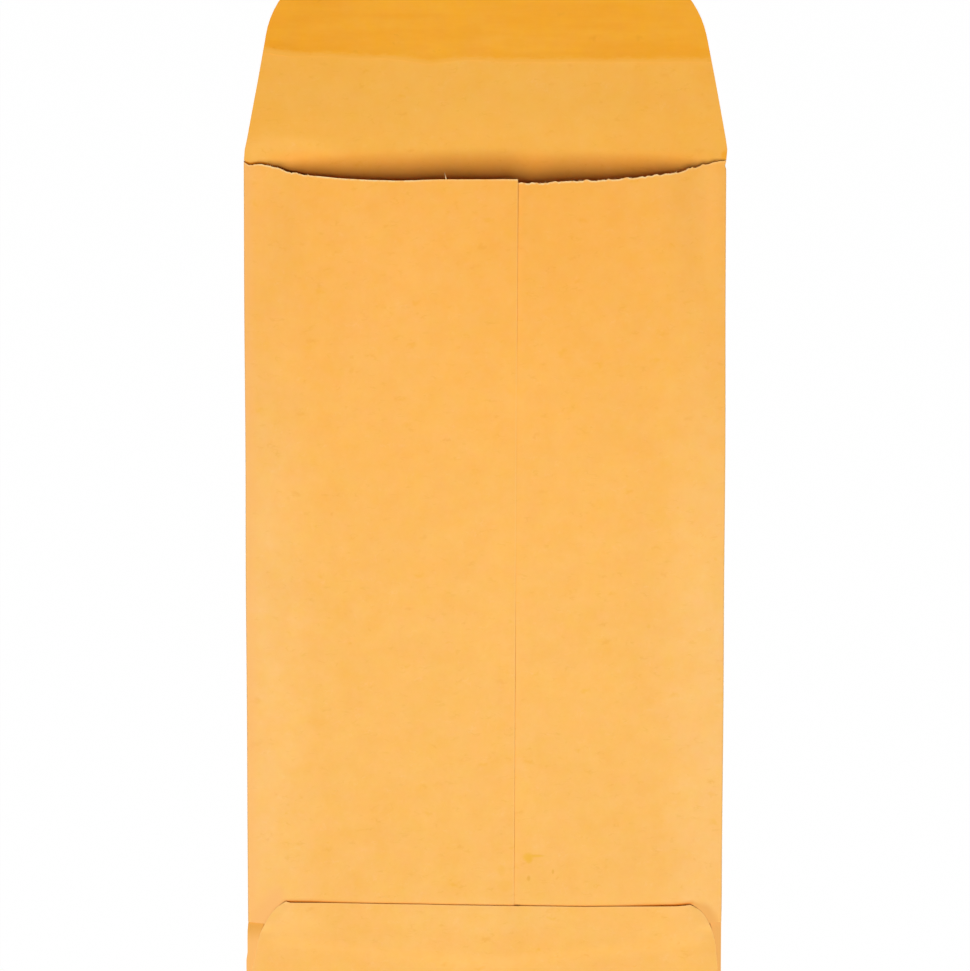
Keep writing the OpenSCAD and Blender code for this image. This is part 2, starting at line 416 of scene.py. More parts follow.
def length_shares():
    """Places of the rows along a side fold, closer together at both cut ends."""
    fine = np.array([0, 0.0012, 0.003, 0.006, 0.011])
    return np.concatenate([fine, np.linspace(0.02, 0.98, LENGTH_ROWS - 9), 1 - fine[::-1]])


def flap_rows(columns):
    angles = np.linspace(math.pi / 2, FLAP_LEAN, FLAP_ARC_ROWS + 1)
    rows = [FLAP_ARC_Y + FLAP_CORNER_R * math.sin(a) for a in angles]
    rows += list(np.linspace(FLAP_SIDE_Y, FLAP_SHOULDER, FLAP_ROWS)[1:])
    rows += [FLAP_SHOULDER * 0.5, FLAP_SHOULDER * 0.04]
    grid = []
    for v in rows:
        half = float(flap_half(np.array(v)))
        x = columns * half
        edge = np.minimum((half - np.abs(x)) * math.cos(FLAP_LEAN), FLAP_H - v)
        grid.append(points(x + flap_shift(v), ENV_H + v, flap_z(x, v), edge))
    return grid


def front_rows(columns):
    grid = []
    for y in SIDE_LOW + (ENV_H - SIDE_LOW) * length_shares()[::-1]:
        x = columns * FOLD_X
        grid.append(points(x, y, PAPER_T / 2, FAR, throat_height(x, y)))
    for y in np.linspace(SIDE_LOW - 0.2, FOLD_Y, FOOT_ROWS):
        x = columns * ENV_W / 2
        edge = ENV_W / 2 - np.abs(x)
        grid.append(points(x, y, PAPER_T / 2, edge))
    return grid


def tuck_rows(columns):
    grid = []
    for a in np.linspace(0, math.pi, FOLD_STEPS + 1)[1:]:
        x = columns * ENV_W / 2
        z = PAPER_T / 2 + FOLD_R * (1 - math.cos(a))
        grid.append(points(x, FOLD_Y - FOLD_R * math.sin(a), z, ENV_W / 2 - np.abs(x)))
    angles = np.linspace(TUCK_LEAN, TUCK_CORNER_TURN, TUCK_ARC_ROWS + 1)[1:]
    heights = list(np.linspace(FOLD_Y, TUCK_SIDE_Y, TUCK_ROWS + 1)[1:])
    heights += [TUCK_ARC_Y + TUCK_CORNER_R * math.sin(a) for a in angles]
    for height in heights:
        half = float(tuck_half(np.array(height)))
        x = columns * half
        y = height + tuck_skew(x, height)
        edge = np.minimum(half - np.abs(x), TUCK_H - height)
        share = tuck_thickness(x, y)
        grid.append(points(x + TUCK_SHEAR * (height - FOLD_Y), y, tuck_z(x, y), edge, share=share))
    return grid


def side_grid(over):
    """A side fold and its panel at positive x, one column after another along the envelope."""
    shares = length_shares()
    dip = LEFT_END_DIP if over else 0
    grid = []
    for a in np.linspace(0, math.pi, FOLD_STEPS + 1):
        top = ENV_H - dip * float(ease(a / math.pi * 2 - 1))
        y = SIDE_LOW + (top - SIDE_LOW) * shares
        z = PAPER_T / 2 + FOLD_R * (1 - math.cos(a))
        grid.append(points(FOLD_X + FOLD_R * math.sin(a), y, z, y - SIDE_LOW, top - y))
    for x in np.linspace(FOLD_X, -SEAM_LAP, PANEL_COLUMNS + 1)[1:]:
        low = low_edge(x)
        high = throat_edge(x, over)
        joined = ease((FOLD_X - x) / 0.8)
        stray = throat_stray(x, over) * joined - dip * (1 - joined)
        y = low + (high - low) * shares
        lip = high - y
        y = y + stray * ease(1 - lip / 3)
        free = x + SEAM_LAP
        edge = np.minimum(y - low, free)
        if over:
            x = x + (SEAM_LAP - seam_x(y)) * ease((14 - free) / 14)
            column = points(x, y, panel_z(x, y, over), edge, lip, flap=tuck_distance(-x, y))
        else:
            seam = x - seam_x(y)
            column = points(x, y, panel_z(x, y, over), edge, lip, seam, tuck_distance(x, y), seam_dark(y))
        grid.append(column)
    return grid


def mirrored(grid):
    signs = np.array([-1, 1, 1] + [1] * len(LAYERS))
    return [column * signs for column in grid]


def place(grid):
    """Metres in the frame for points that are measured from the bottom fold in millimetres."""
    moved = np.array(grid[..., :3])
    moved[..., 0] += fold_stray(grid[..., 0], grid[..., 1])
    moved[..., 1] += BOTTOM_Y
    return moved * MM


def add_grid(bm, grid, layers, flip):
    """Adds a grid of quads, and writes each point's distances in their layers."""
    values = np.array(grid)
    where = place(values)
    verts = []
    for i in range(values.shape[0]):
        line = [bm.verts.new(where[i, j]) for j in range(values.shape[1])]
        for j, vert in enumerate(line):
            for k, layer in enumerate(layers):
                vert[layer] = values[i, j, 3 + k]
        verts.append(line)
    for i in range(values.shape[0] - 1):
        for j in range(values.shape[1] - 1):
            quad = [verts[i][j], verts[i + 1][j], verts[i + 1][j + 1], verts[i][j + 1]]
            bm.faces.new(quad[::-1] if flip else quad)


def new_sheet():
    bm = bmesh.new()
    return bm, [bm.verts.layers.float.new(name) for name in LAYERS]


def thickened(name, bm, thickness, materials):
    """Turns the middle of a sheet into a closed sheet, thinner where its thickness layer says so.

    The materials are those of the face that the normals leave, the other face and the cut rim.
    """
    mesh = bpy.data.meshes.new(name)
    bm.to_mesh(mesh)
    bm.free()
    for material in materials:
        mesh.materials.append(material)
    piece = bpy.data.objects.new(name, mesh)
    bpy.context.scene.collection.objects.link(piece)
    shares = piece.vertex_groups.new(name="share")
    for index, share in enumerate(mesh.attributes["thickness"].data):
        shares.add([index], share.value, "REPLACE")
    solid = piece.modifiers.new("thickness", "SOLIDIFY")
    solid.vertex_group = shares.name
    solid.thickness = thickness * MM
    solid.offset = 0
    solid.use_even_offset = True
    solid.use_rim = True
    solid.material_offset = 1
    solid.material_offset_rim = 2
    graph = bpy.context.evaluated_depsgraph_get()
    finished = bpy.data.meshes.new_from_object(piece.evaluated_get(graph))
    piece.modifiers.clear()
    piece.data = finished
    finished.name = name
    finished.shade_smooth()
    finished.set_sharp_from_angle(angle=SHARP_ANGLE)
    return piece


def kraft_sheet(materials):
    bm, layers = new_sheet()
    columns = across()
    strip = flap_rows(columns) + front_rows(columns) + tuck_rows(columns)
    add_grid(bm, strip, layers, flip=False)
    add_grid(bm, side_grid(over=False), layers, flip=False)
    add_grid(bm, mirrored(side_grid(over=True)), layers, flip=True)
    bmesh.ops.remove_doubles(bm, verts=bm.verts, dist=WELD * MM)
    return thickened("kraft_sheet", bm, PAPER_T, materials)


def gum_start(x):
    """Lower edge of the gum above the crease, which climbs to the left and waves a little."""
    return GUM_START + between(x, GUM_EDGE) + 0.07 * waves(x, 0 * x, 5, 41)


def gum_coat(materials):
    """Thin coat on the flap's inner face, from its wavy lower edge up to the flap's rim."""
    bm, layers = new_sheet()
    columns = across()
    grid = []
    for share in np.linspace(1, 0, GUM_ROWS + 1):
        angle = FLAP_LEAN + (math.pi / 2 - FLAP_LEAN) * share
        top = FLAP_ARC_Y + (FLAP_CORNER_R - GUM_INSET) * math.sin(angle)
        v = gum_start(columns * FLAP_ARC_X * 1.6) * (1 - share) + top * share
        x = columns * (flap_half(v) - GUM_INSET)
        z = flap_z(x, v) + PAPER_T / 2 + GUM_T / 2
        grid.append(points(x + flap_shift(v), ENV_H + v, z, v - gum_start(x)))
    add_grid(bm, grid, layers, flip=False)
    return thickened("gum_coat", bm, GUM_T, materials)


def fibre(bm, root, heading, length, radius, bend):
    """A tapered hair of paper that leaves the root along its heading and bends."""
    heading = Vector(heading).normalized()
    side = heading.cross(Vector((0, 0, 1))).normalized()
    rings = []
    for k in range(FIBRE_STEPS + 1):
        t = k / FIBRE_STEPS
        middle = Vector(root) + heading * length * t + side * bend * t * t
        r = radius * (1 - 0.85 * t)
        ring = []
        for j in range(FIBRE_SIDES):
            angle = math.tau * j / FIBRE_SIDES
            around = side * math.cos(angle) + Vector((0, 0, math.sin(angle)))
            ring.append(bm.verts.new((middle + around * r) * MM))
        rings.append(ring)
    for a, b in zip(rings, rings[1:]):
        for j in range(FIBRE_SIDES):
            following = (j + 1) % FIBRE_SIDES
            bm.faces.new((a[j], b[j], b[following], a[following]))
    bm.faces.new(rings[0])
    bm.faces.new(rings[-1][::-1])


def stray_fibres(material):
    """Hairs along the cut of the throat, and one long one left of the seam."""
    bm = bmesh.new()
    rng = np.random.default_rng(77)
    spots = [(-6.75, True, (-0.3, 1.0, 0.05), 1.3, 0.1, 0.05)]
    for _ in range(FIBRES):
        over = rng.random() < 0.35
        x = rng.uniform(-39, -30) if over else rng.uniform(7, 38)
        heading = (rng.uniform(-0.9, 0.9), 1.0, rng.uniform(-0.3, 0.3))
        spots.append((x, over, heading, rng.uniform(0.15, 0.45), 0.03, rng.uniform(-0.1, 0.1)))
    for x, over, heading, length, radius, bend in spots:
        u = -x if over else x
        y = float(throat_edge(u, over) + throat_stray(u, over))
        z = float(panel_z(np.array(u), np.array(y), over)) - 0.02
        fibre(bm, (x, y - 0.06 + BOTTOM_Y, z), heading, length, radius, bend)
    bmesh.ops.recalc_face_normals(bm, faces=bm.faces)
    mesh = bpy.data.meshes.new("stray_fibres")
    bm.to_mesh(mesh)
    bm.free()
    mesh.materials.append(material)
    mesh.shade_smooth()
    piece = bpy.data.objects.new("stray_fibres", mesh)
    bpy.context.scene.collection.objects.link(piece)
    return piece


# Materials


def add(tree, kind, inputs=None, **settings):
    made = tree.nodes.new(kind)
    for key, value in settings.items():
        setattr(made, key, value)
    for key, value in (inputs or {}).items():
        if isinstance(value, bpy.types.NodeSocket):
            tree.links.new(value, made.inputs[key])
        else:
            made.inputs[key].default_value = value
    return made


def math_node(tree, operation, a, b=0.0, c=0.0):
    return add(tree, "ShaderNodeMath", {0: a, 1: b, 2: c}, operation=operation).outputs[0]


def product(tree, value, *factors):
    for factor in factors:
        value = math_node(tree, "MULTIPLY", value, factor)
    return value


def scaled_plus(tree, value, factor, rest):
    """Value times a factor, plus the rest."""
    return math_node(tree, "MULTIPLY_ADD", value, factor, rest)


def absolute(tree, value):
    return math_node(tree, "ABSOLUTE", value)


def ramp(tree, value, low, high, to_low=0.0, to_high=1.0):
    """Smooth step of a value from one range to another."""
    made = add(
        tree,
        "ShaderNodeMapRange",
        {"Value": value, "From Min": low, "From Max": high, "To Min": to_low, "To Max": to_high},
        interpolation_type="SMOOTHSTEP",
    )
    return made.outputs["Result"]


def mix(tree, share, a, b, blend="MIX"):
    return add(tree, "ShaderNodeMix", {0: share, 6: a, 7: b}, data_type="RGBA", blend_type=blend).outputs[2]


def noise(tree, vector, scale, detail=2.0, roughness=0.5):
    made = add(
        tree,
        "ShaderNodeTexNoise",
        {"Vector": vector, "Scale": scale, "Detail": detail, "Roughness": roughness},
    )
    return made.outputs[0]


def scaled(tree, vector, scale, angle=0.0, shift=(0, 0, 0)):
    made = add(
        tree,
        "ShaderNodeMapping",
        {"Vector": vector, "Rotation": (0, 0, angle), "Scale": scale, "Location": shift},
    )
    return made.outputs["Vector"]


def tinted(tree, colour, shade):
    """Colour times a grey level."""
    return mix(tree, 1.0, colour, channels(tree, shade, shade, shade), "MULTIPLY")


def attribute(tree, name):
    return add(tree, "ShaderNodeAttribute", attribute_name=name, attribute_type="GEOMETRY").outputs["Fac"]


def new_material(name, roughness, specular):
    material = bpy.data.materials.new(name)
    material.use_nodes = True
    tree = material.node_tree
    shader = tree.nodes["Principled BSDF"]
    shader.inputs["Roughness"].default_value = roughness
    shader.inputs["Specular IOR Level"].default_value = specular
    position = add(tree, "ShaderNodeTexCoord").outputs["Object"]
    return material, tree, shader, scaled(tree, position, (1000, 1000, 1000))


def rgb(r, g, b):
    return (r, g, b, 1.0)


def located(tree, position):
    """Millimetres across from the middle, up from the bottom fold, and above the table."""
    axes = add(tree, "ShaderNodeSeparateXYZ", {0: position}).outputs
    return axes[0], math_node(tree, "SUBTRACT", axes[1], BOTTOM_Y), axes[2]


def mottling(tree, position):
    """Three unlike noises of the paper's clouding, of about 0 to 1."""
    made = add(
        tree,
        "ShaderNodeTexNoise",
        {"Vector": position, "Scale": 0.25, "Detail": 3.0, "Roughness": 0.74},
    )
    return add(tree, "ShaderNodeSeparateColor", {0: made.outputs["Color"]}).outputs


def channels(tree, red, green, blue):
    return add(tree, "ShaderNodeCombineColor", {0: red, 1: green, 2: blue}).outputs[0]


def flecks(tree, position, across_mm, along_mm, share, size, angle, seed):
    """Soft bent ellipses, one in some of the cells of a stretched and turned grid, and their tints."""
    warp = add(tree, "ShaderNodeTexNoise", {"Vector": position, "Scale": 0.9, "Detail": 1.0}).outputs["Color"]
    bent = add(tree, "ShaderNodeVectorMath", {0: warp, 1: (2.4, 1.6, 0.0)}, operation="MULTIPLY").outputs[0]
    moved = add(tree, "ShaderNodeVectorMath", {0: position, 1: bent}, operation="ADD").outputs[0]
    cells = scaled(tree, moved, (1 / across_mm, 1 / along_mm, 0.0), angle, (seed, seed * 0.7, 0))
    voronoi = add(tree, "ShaderNodeTexVoronoi", {"Vector": cells, "Scale": 1.0}, voronoi_dimensions="2D")
    pick = add(tree, "ShaderNodeSeparateColor", {0: voronoi.outputs["Color"]}).outputs
    kept = ramp(tree, pick[0], share, share - 0.2)
    shape = ramp(tree, voronoi.outputs["Distance"], scaled_plus(tree, pick[1], size, size * 0.5), 0.0)
    return product(tree, kept, shape), pick[2]


def strokes(tree, position, stretch, angle, seed):
    """Short bent fibres: stretches of the middle contour of a noise, where a second noise is high."""
    field = noise(tree, scaled(tree, position, stretch, angle, (seed, 0, 0)), 1.0, 1, 0.5)
    off = absolute(tree, math_node(tree, "SUBTRACT", field, 0.5))
    patches = noise(tree, scaled(tree, position, (0.5, 0.9, 1.0), 0.0, (0, seed, 0)), 1.0, 0)
    return product(tree, ramp(tree, off, 0.06, 0.008), ramp(tree, patches, 0.57, 0.85))


def spot(tree, position, x, y, wide, high):
    """Soft elliptical mask at a place measured from the middle and the bottom fold."""
    at = scaled(tree, position, (1 / wide, 1 / high, 0.0), 0.0, (-x / wide, -(y + BOTTOM_Y) / high, 0))
    reach = add(tree, "ShaderNodeVectorMath", {0: at}, operation="LENGTH").outputs["Value"]
    return ramp(tree, reach, 1.0, 0.35)


def paper_texture(tree, shader, position, colour, mottle):
    """Adds the paper's clouding, fibres, flecks and fine relief to a base colour."""
    fields = mottling(tree, position)
    first, second, third = [math_node(tree, "SUBTRACT", fields[k], 0.5) for k in range(3)]
    red = scaled_plus(tree, first, 0.07 * mottle, 1.0)
    green = scaled_plus(tree, second, 0.17 * mottle, red)
    blue = scaled_plus(tree, first, 0.34 * mottle, 1.0)
    blue = scaled_plus(tree, second, 0.32 * mottle, blue)
    blue = scaled_plus(tree, third, 0.56 * mottle, blue)
    colour = mix(tree, 1.0, colour, channels(tree, red, green, blue), "MULTIPLY")
    cloud = math_node(tree, "SUBTRACT", noise(tree, position, 0.07, 1), 0.5)
    colour = tinted(tree, colour, scaled_plus(tree, cloud, 0.035 * mottle, 1.0))
    dark = strokes(tree, position, (0.5, 1.3, 1.0), 0.12, 11.0)
    colour = mix(tree, dark, colour, rgb(0.962, 0.935, 0.82), "MULTIPLY")
    pale = strokes(tree, position, (0.8, 1.0, 1.0), -0.5, 47.0)
    colour = mix(tree, product(tree, pale, 0.8), colour, rgb(1.01, 1.04, 1.25), "MULTIPLY")
    specks, hue = flecks(tree, position, 8.5, 4.6, 0.5, 0.12, 0.1, 3.1)
    speck_colour = mix(tree, ramp(tree, hue, 0.3, 0.7), rgb(0.965, 0.93, 0.64), rgb(0.95, 0.88, 0.76))
    colour = mix(tree, product(tree, specks, 0.75), colour, speck_colour, "MULTIPLY")
    grain = noise(tree, scaled(tree, position, (1.6, 3.2, 1.0), 0.1), 1.0, 1, 0.6)
    relief(tree, shader, 0.2, scaled_plus(tree, fields[0], 2.0, grain))
    return colour


def relief(tree, shader, strength, height):
    bump = add(tree, "ShaderNodeBump", {"Strength": strength, "Distance": RELIEF * MM, "Height": height})
    tree.links.new(bump.outputs[0], shader.inputs["Normal"])


# Depth of the relief in the materials
RELIEF = 0.02

# Colours of the outer face, from the mouth down with painted sheen low down, where it is frayed, painted shade
# by the bottom flap and in the seam's step, and bands beside the bottom flap's ends
OUTER_HIGH = rgb(0.983, 0.464, 0.088)
OUTER_LOW_SHEEN = rgb(0.966, 0.502, 0.121)
OUTER_SIDES = rgb(0.981, 0.535, 0.155)
OUTER_BORDER = rgb(0.985, 0.49, 0.165)
FRAYED_LIP = rgb(0.985, 0.68, 0.30)
CUT_EDGE = rgb(0.98, 0.66, 0.27)
FLAP_SHADE_HALO = rgb(0.84, 0.34, 0.06)
FLAP_SHADOW_LINE = rgb(0.93, 0.25, 0.012)
RIGHT_END_BAND = rgb(0.885, 0.437, 0.116)
LEFT_END_BAND = rgb(0.965, 0.487, 0.155)
SEAM_SHADE = rgb(0.62, 0.55, 0.36)

# Colours of the inner face, with painted light by the crease and painted shade in the mouth and beside the
# bottom flap
INNER_FAR = rgb(0.920, 0.450, 0.0745)
INNER_NEAR = rgb(0.912, 0.450, 0.0765)
INNER_SIDES = rgb(1.0, 0.982, 0.93)
INNER_PAINTED_LIGHT = rgb(0.975, 0.492, 0.095)
INNER_SHADE_TINT = rgb(1.04, 0.88, 0.74)
CREVICE_SHADE = rgb(0.48, 0.13, 0.002)
CREVICE_SHADE_END = rgb(0.80, 0.24, 0.004)
CREASE_END = rgb(0.90, 0.37, 0.02)
CORNER_SHADE_LEFT = rgb(0.815, 0.385, 0.072)
CORNER_LEFT_LOW = rgb(0.96, 0.487, 0.14)
CORNER_SHADE_RIGHT = rgb(0.865, 0.427, 0.112)

# Colours of the gum
GUM_DARK = rgb(0.875, 0.358, 0.0155)
GUM_PALE = rgb(0.895, 0.389, 0.0235)
GUM_THIN = rgb(0.90, 0.437, 0.066)

# Stains on the body: a colour, its strength, and each spot's x, y, half width and half height
STAINS = [
    (rgb(0.91, 0.465, 0.053), 0.8, [(7.8, 27.4, 1.3, 1.1), (8.0, 26.9, 0.8, 1.0), (9.2, 27.6, 2.0, 0.35)]),
    (rgb(0.93, 0.475, 0.075), 0.45, [(3.0, 25.0, 1.0, 1.4), (3.7, 22.2, 1.8, 1.6)]),
    (rgb(0.84, 0.40, 0.062), 0.7, [(7.9, 23.5, 0.45, 0.7), (12.3, 24.7, 0.3, 0.6)]),
]

# Broad areas of the outer face whose tone differs a little, two of them painted light: x, y, half width, half
# height, tint
TONE_AND_LIGHT_AREAS = [
    (14, 143, 17, 26, rgb(0.985, 0.968, 0.91)),
    (-18, 128, 15, 32, rgb(1.0, 1.008, 1.08)),
    # Painted highlight along the top of the bottom flap
    (0, 16.6, 22, 4.5, rgb(1.0, 1.03, 1.09)),
    # Painted light on the right side, against the shade that the bow gives it
    (38, 110, 13, 55, rgb(1.02, 1.018, 0.975)),
]

# The same for the gum
GUM_AREAS = [
    (0, 185, 28, 30, rgb(1.012, 1.025, 1.09)),
    (-38, 180, 18, 20, rgb(0.985, 0.965, 0.89)),
]


def frayed_lip(tree, position, x):
    """How frayed and pale the panels are along the cut of the throat."""
    lip = ramp(tree, attribute(tree, "throat"), 0.42, 0.1)
    along = ramp(tree, x, 30, 41, 1.0, 0.3)
    frayed = noise(tree, scaled(tree, position, (1.0, 0.3, 1.0)), 1.3, 2, 0.7)
    plain = scaled_plus(tree, spot(tree, position, -3, 148.3, 12, 6), -0.6, 1.0)
    return product(tree, lip, along, ramp(tree, frayed, 0.3, 0.6, 0.25, 1.0), plain)


def shaded_by_flap(tree, colour, x, y):
    """Painted shade along the edge of the bottom flap: the panels are darker and redder close to it, most of
    all at its ends. Beside its curved ends they take a darker band on the right and a pinker one on the left.
    """
    away = attribute(tree, "bottom_flap")
    ends = ramp(tree, absolute(tree, x), 22, 34)
    # Painted shadow: a red-brown halo and a dark line where the flap's lifted edge shades the panel
    colour = mix(tree, product(tree, ramp(tree, away, 0.85, 0.1), ends, 0.7), colour, FLAP_SHADE_HALO)
    close = product(tree, ramp(tree, away, 0.45, 0.1), scaled_plus(tree, ends, 0.55, 0.4))
    close = product(tree, close, ramp(tree, x, -36.5, -35.7), ramp(tree, x, 38.0, 37.2))
    colour = mix(tree, close, colour, FLAP_SHADOW_LINE)
    # A darker band beside the bottom flap's right end, and a pinker one beside its left end
    corner = product(tree, ramp(tree, x, 35.8, 37.8), ramp(tree, y, 19.8, 18.0))
    colour = mix(tree, product(tree, ramp(tree, away, 2.4, 0.9), corner), colour, RIGHT_END_BAND)
    left = product(tree, ramp(tree, away, 4.5, 1.0), ramp(tree, x, -35.5, -37.5), 0.9)
    return mix(tree, left, colour, LEFT_END_BAND)


def outer_paper():
    """The face that the body shows: paler, and paler still along the lower sides."""
    material, tree, shader, position = new_material("kraft_paper", 0.75, 0.08)
    x, y, z = located(tree, position)
    # Paler and bluer from the mouth down: painted sheen, for the lamp's gloss that grows towards the bottom
    colour = mix(tree, ramp(tree, y, 154, 52), OUTER_HIGH, OUTER_LOW_SHEEN)
    # Paler along the lower sides: partly the paper's own tone, partly painted light against the shade that the
    # bow gives the sides
    sides = ramp(tree, absolute(tree, x), 27, 40)
    paler = product(tree, sides, ramp(tree, y, 132, 68, 0.2, 1.0), ramp(tree, y, 10, 19))
    colour = mix(tree, paler, colour, OUTER_SIDES)
    for area in TONE_AND_LIGHT_AREAS:
        colour = mix(tree, spot(tree, position, *area[:4]), colour, area[4], "MULTIPLY")
    colour = paper_texture(tree, shader, position, colour, 1.0)
    seam_side = ramp(tree, z, 0.3, 0.5)
    for tint, strength, spots in STAINS:
        for stain in spots:
            share = product(tree, spot(tree, position, *stain), strength, seam_side)
            colour = mix(tree, share, colour, tint)
    lip = product(tree, frayed_lip(tree, position, x), seam_side)
    colour = mix(tree, lip, colour, FRAYED_LIP)
    colour = mix(tree, product(tree, ramp(tree, x, -40.3, -42.4), 0.45), colour, OUTER_BORDER)
    colour = mix(tree, ramp(tree, attribute(tree, "cut_edge"), 0.3, 0.1, 0.0, 0.15), colour, CUT_EDGE)
    colour = shaded_by_flap(tree, colour, x, y)
    # Painted shade in the seam's step, darker where the over panel's edge gapes
    beside = ramp(tree, absolute(tree, attribute(tree, "seam")), 0.2, 0.03)
    line = product(tree, beside, attribute(tree, "seam_dark"))
    colour = mix(tree, line, colour, SEAM_SHADE, "MULTIPLY")
    tree.links.new(colour, shader.inputs["Base Color"])
    return material


def inner_paper():
    """The face that was folded inward: a deeper colour, seen on the flap and in the mouth."""
    material, tree, shader, position = new_material("kraft_inner", 0.75, 0.08)
    x, y, _ = located(tree, position)
    out = absolute(tree, x)
    colour = mix(tree, ramp(tree, y, 175, 156), INNER_FAR, INNER_NEAR)
    colour = mix(tree, ramp(tree, out, 14, 32), colour, INNER_SIDES, "MULTIPLY")
    # Painted highlight where the flap bends up from the crease towards the lamp
    lit_share = product(tree, spot(tree, position, -35.0, ENV_H + 1.6, 13.0, 3.6), 0.8)
    colour = mix(tree, lit_share, colour, INNER_PAINTED_LIGHT)
    # Painted shade: redder and darker just inside the mouth and below the crease, where the mouth's shadow
    # falls
    inside = product(tree, ramp(tree, y, ENV_H + 2.6, ENV_H - 0.6), ramp(tree, out, 41, 33))
    colour = mix(tree, inside, colour, INNER_SHADE_TINT, "MULTIPLY")
    # Painted shadow: a dark red line just above the cut at the throat's left end, in the crevice under the
    # panel
    above = attribute(tree, "throat")
    crevice_shade = product(tree, ramp(tree, above, 0.6, 0.3), ramp(tree, above, -1.0, -0.4))
    crevice_shade = product(tree, crevice_shade, ramp(tree, x, -30, -34))
    crevice_colour = mix(tree, ramp(tree, x, -35.5, -38.5), CREVICE_SHADE, CREVICE_SHADE_END)
    colour = mix(tree, crevice_shade, colour, crevice_colour)
    colour = paper_texture(tree, shader, position, colour, 0.9)
    crease_end = product(tree, spot(tree, position, 42.6, ENV_H + 0.9, 0.9, 1.3), 0.8)
    colour = mix(tree, crease_end, colour, CREASE_END)
    # Beside the bottom flap's ends the inner face is darker: painted shade in the recess under the side panels'
    # lower edge, fading on the left to a paler tone towards the fold
    left = mix(tree, ramp(tree, y, 15.0, 11.3), CORNER_SHADE_LEFT, CORNER_LEFT_LOW)
    corner = mix(tree, ramp(tree, x, -1, 1), left, CORNER_SHADE_RIGHT)
    colour = mix(tree, ramp(tree, y, 20, 16), colour, corner)
    tree.links.new(colour, shader.inputs["Base Color"])
    return material


def cut_rim():
    material, tree, shader, position = new_material("cut_rim", 0.85, 0.08)
    x, y, _ = located(tree, position)
    frayed = noise(tree, position, 5, 3, 0.7)
    # The rim is dark and red: painted shade, for cut faces that the lamp doesn't reach
    colour = mix(tree, frayed, rgb(0.72, 0.27, 0.03), rgb(0.90, 0.44, 0.10))
    # Towards the right end of the throat the rim is paler: partly its pale ragged fibres, partly painted light
    # where they catch the lamp
    high_up = ramp(tree, y, 120, 140)
    ragged_pale = product(tree, ramp(tree, x, 29, 35), high_up)
    colour = mix(tree, ragged_pale, colour, rgb(0.97, 0.62, 0.27))
    # At the curved ends of the bottom flap the rim keeps a paler paper colour
    low_down = math_node(tree, "SUBTRACT", 1.0, high_up)
    low_ends = product(tree, ramp(tree, absolute(tree, x), 36.5, 37.2), low_down)
    colour = mix(tree, low_ends, colour, rgb(0.97, 0.52, 0.15))
    tree.links.new(colour, shader.inputs["Base Color"])
    return material


def pale_fibre():
    material, tree, shader, position = new_material("pale_fibre", 0.8, 0.1)
    shade = noise(tree, position, 3, 1)
    colour = mix(tree, shade, rgb(0.96, 0.62, 0.27), rgb(0.98, 0.74, 0.42))
    tree.links.new(colour, shader.inputs["Base Color"])
    return material


def dry_gum():
    """Glossier than the paper, streaked across, and thin and pale along its wavy lower edge."""
    material, tree, shader, position = new_material("dry_gum", 0.45, 0.12)
    streak = noise(tree, scaled(tree, position, (0.05, 0.4, 1.0), 0.01), 1.0, 4, 0.6)
    cloud = noise(tree, position, 0.22, 3, 0.6)
    grain = noise(tree, scaled(tree, position, (0.8, 3.0, 1.0)), 1.0, 2, 0.6)
    colour = mix(tree, ramp(tree, streak, 0.3, 0.7), GUM_DARK, GUM_PALE)
    shade = scaled_plus(tree, math_node(tree, "SUBTRACT", cloud, 0.5), 0.08, 1.0)
    shade = scaled_plus(tree, math_node(tree, "SUBTRACT", grain, 0.5), 0.03, shade)
    fields = mottling(tree, position)
    green = scaled_plus(tree, math_node(tree, "SUBTRACT", fields[0], 0.5), 0.12, shade)
    blue = scaled_plus(tree, math_node(tree, "SUBTRACT", fields[1], 0.5), 1.6, green)
    colour = mix(tree, 1.0, colour, channels(tree, shade, green, blue), "MULTIPLY")
    for area in GUM_AREAS:
        colour = mix(tree, spot(tree, position, *area[:4]), colour, area[4], "MULTIPLY")
    up = attribute(tree, "cut_edge")
    tide = product(tree, ramp(tree, up, 0.6, 1.1), ramp(tree, up, 2.4, 1.3))
    colour = mix(tree, tide, colour, rgb(0.985, 0.975, 0.94), "MULTIPLY")
    thin = ramp(tree, up, ramp(tree, grain, 0.3, 0.7, 0.8, 1.4), 0.0)
    colour = mix(tree, product(tree, thin, 0.85), colour, GUM_THIN)
    specks, _ = flecks(tree, position, 7.0, 4.0, 0.4, 0.1, 0.0, 5.2)
    colour = mix(tree, product(tree, specks, 0.5), colour, rgb(0.88, 0.86, 0.6), "MULTIPLY")
    tree.links.new(colour, shader.inputs["Base Color"])
    rough = scaled_plus(tree, thin, 0.3, scaled_plus(tree, cloud, 0.2, 0.3))
    tree.links.new(rough, shader.inputs["Roughness"])
    relief(tree, shader, 0.25, streak)
    return material


# Stage, lights and camera

LENS = 100.0
SENSOR = 36.0
TILT = math.radians(3.89)
CAMERA_DISTANCE = 482.6
AIM_X = 0.03
AIM_Y = 0.9

FILL = 0.02
FLOOR_GLOW = 0.96
KEY_AZIMUTH = math.radians(-96)
KEY_ELEVATION = math.radians(66)
KEY_DISTANCE = 4.0
KEY_SIZE = 3.0
KEY_POWER = 197.5

FLOOR_HALF = 3.0
FLOOR_DROP = 0.02


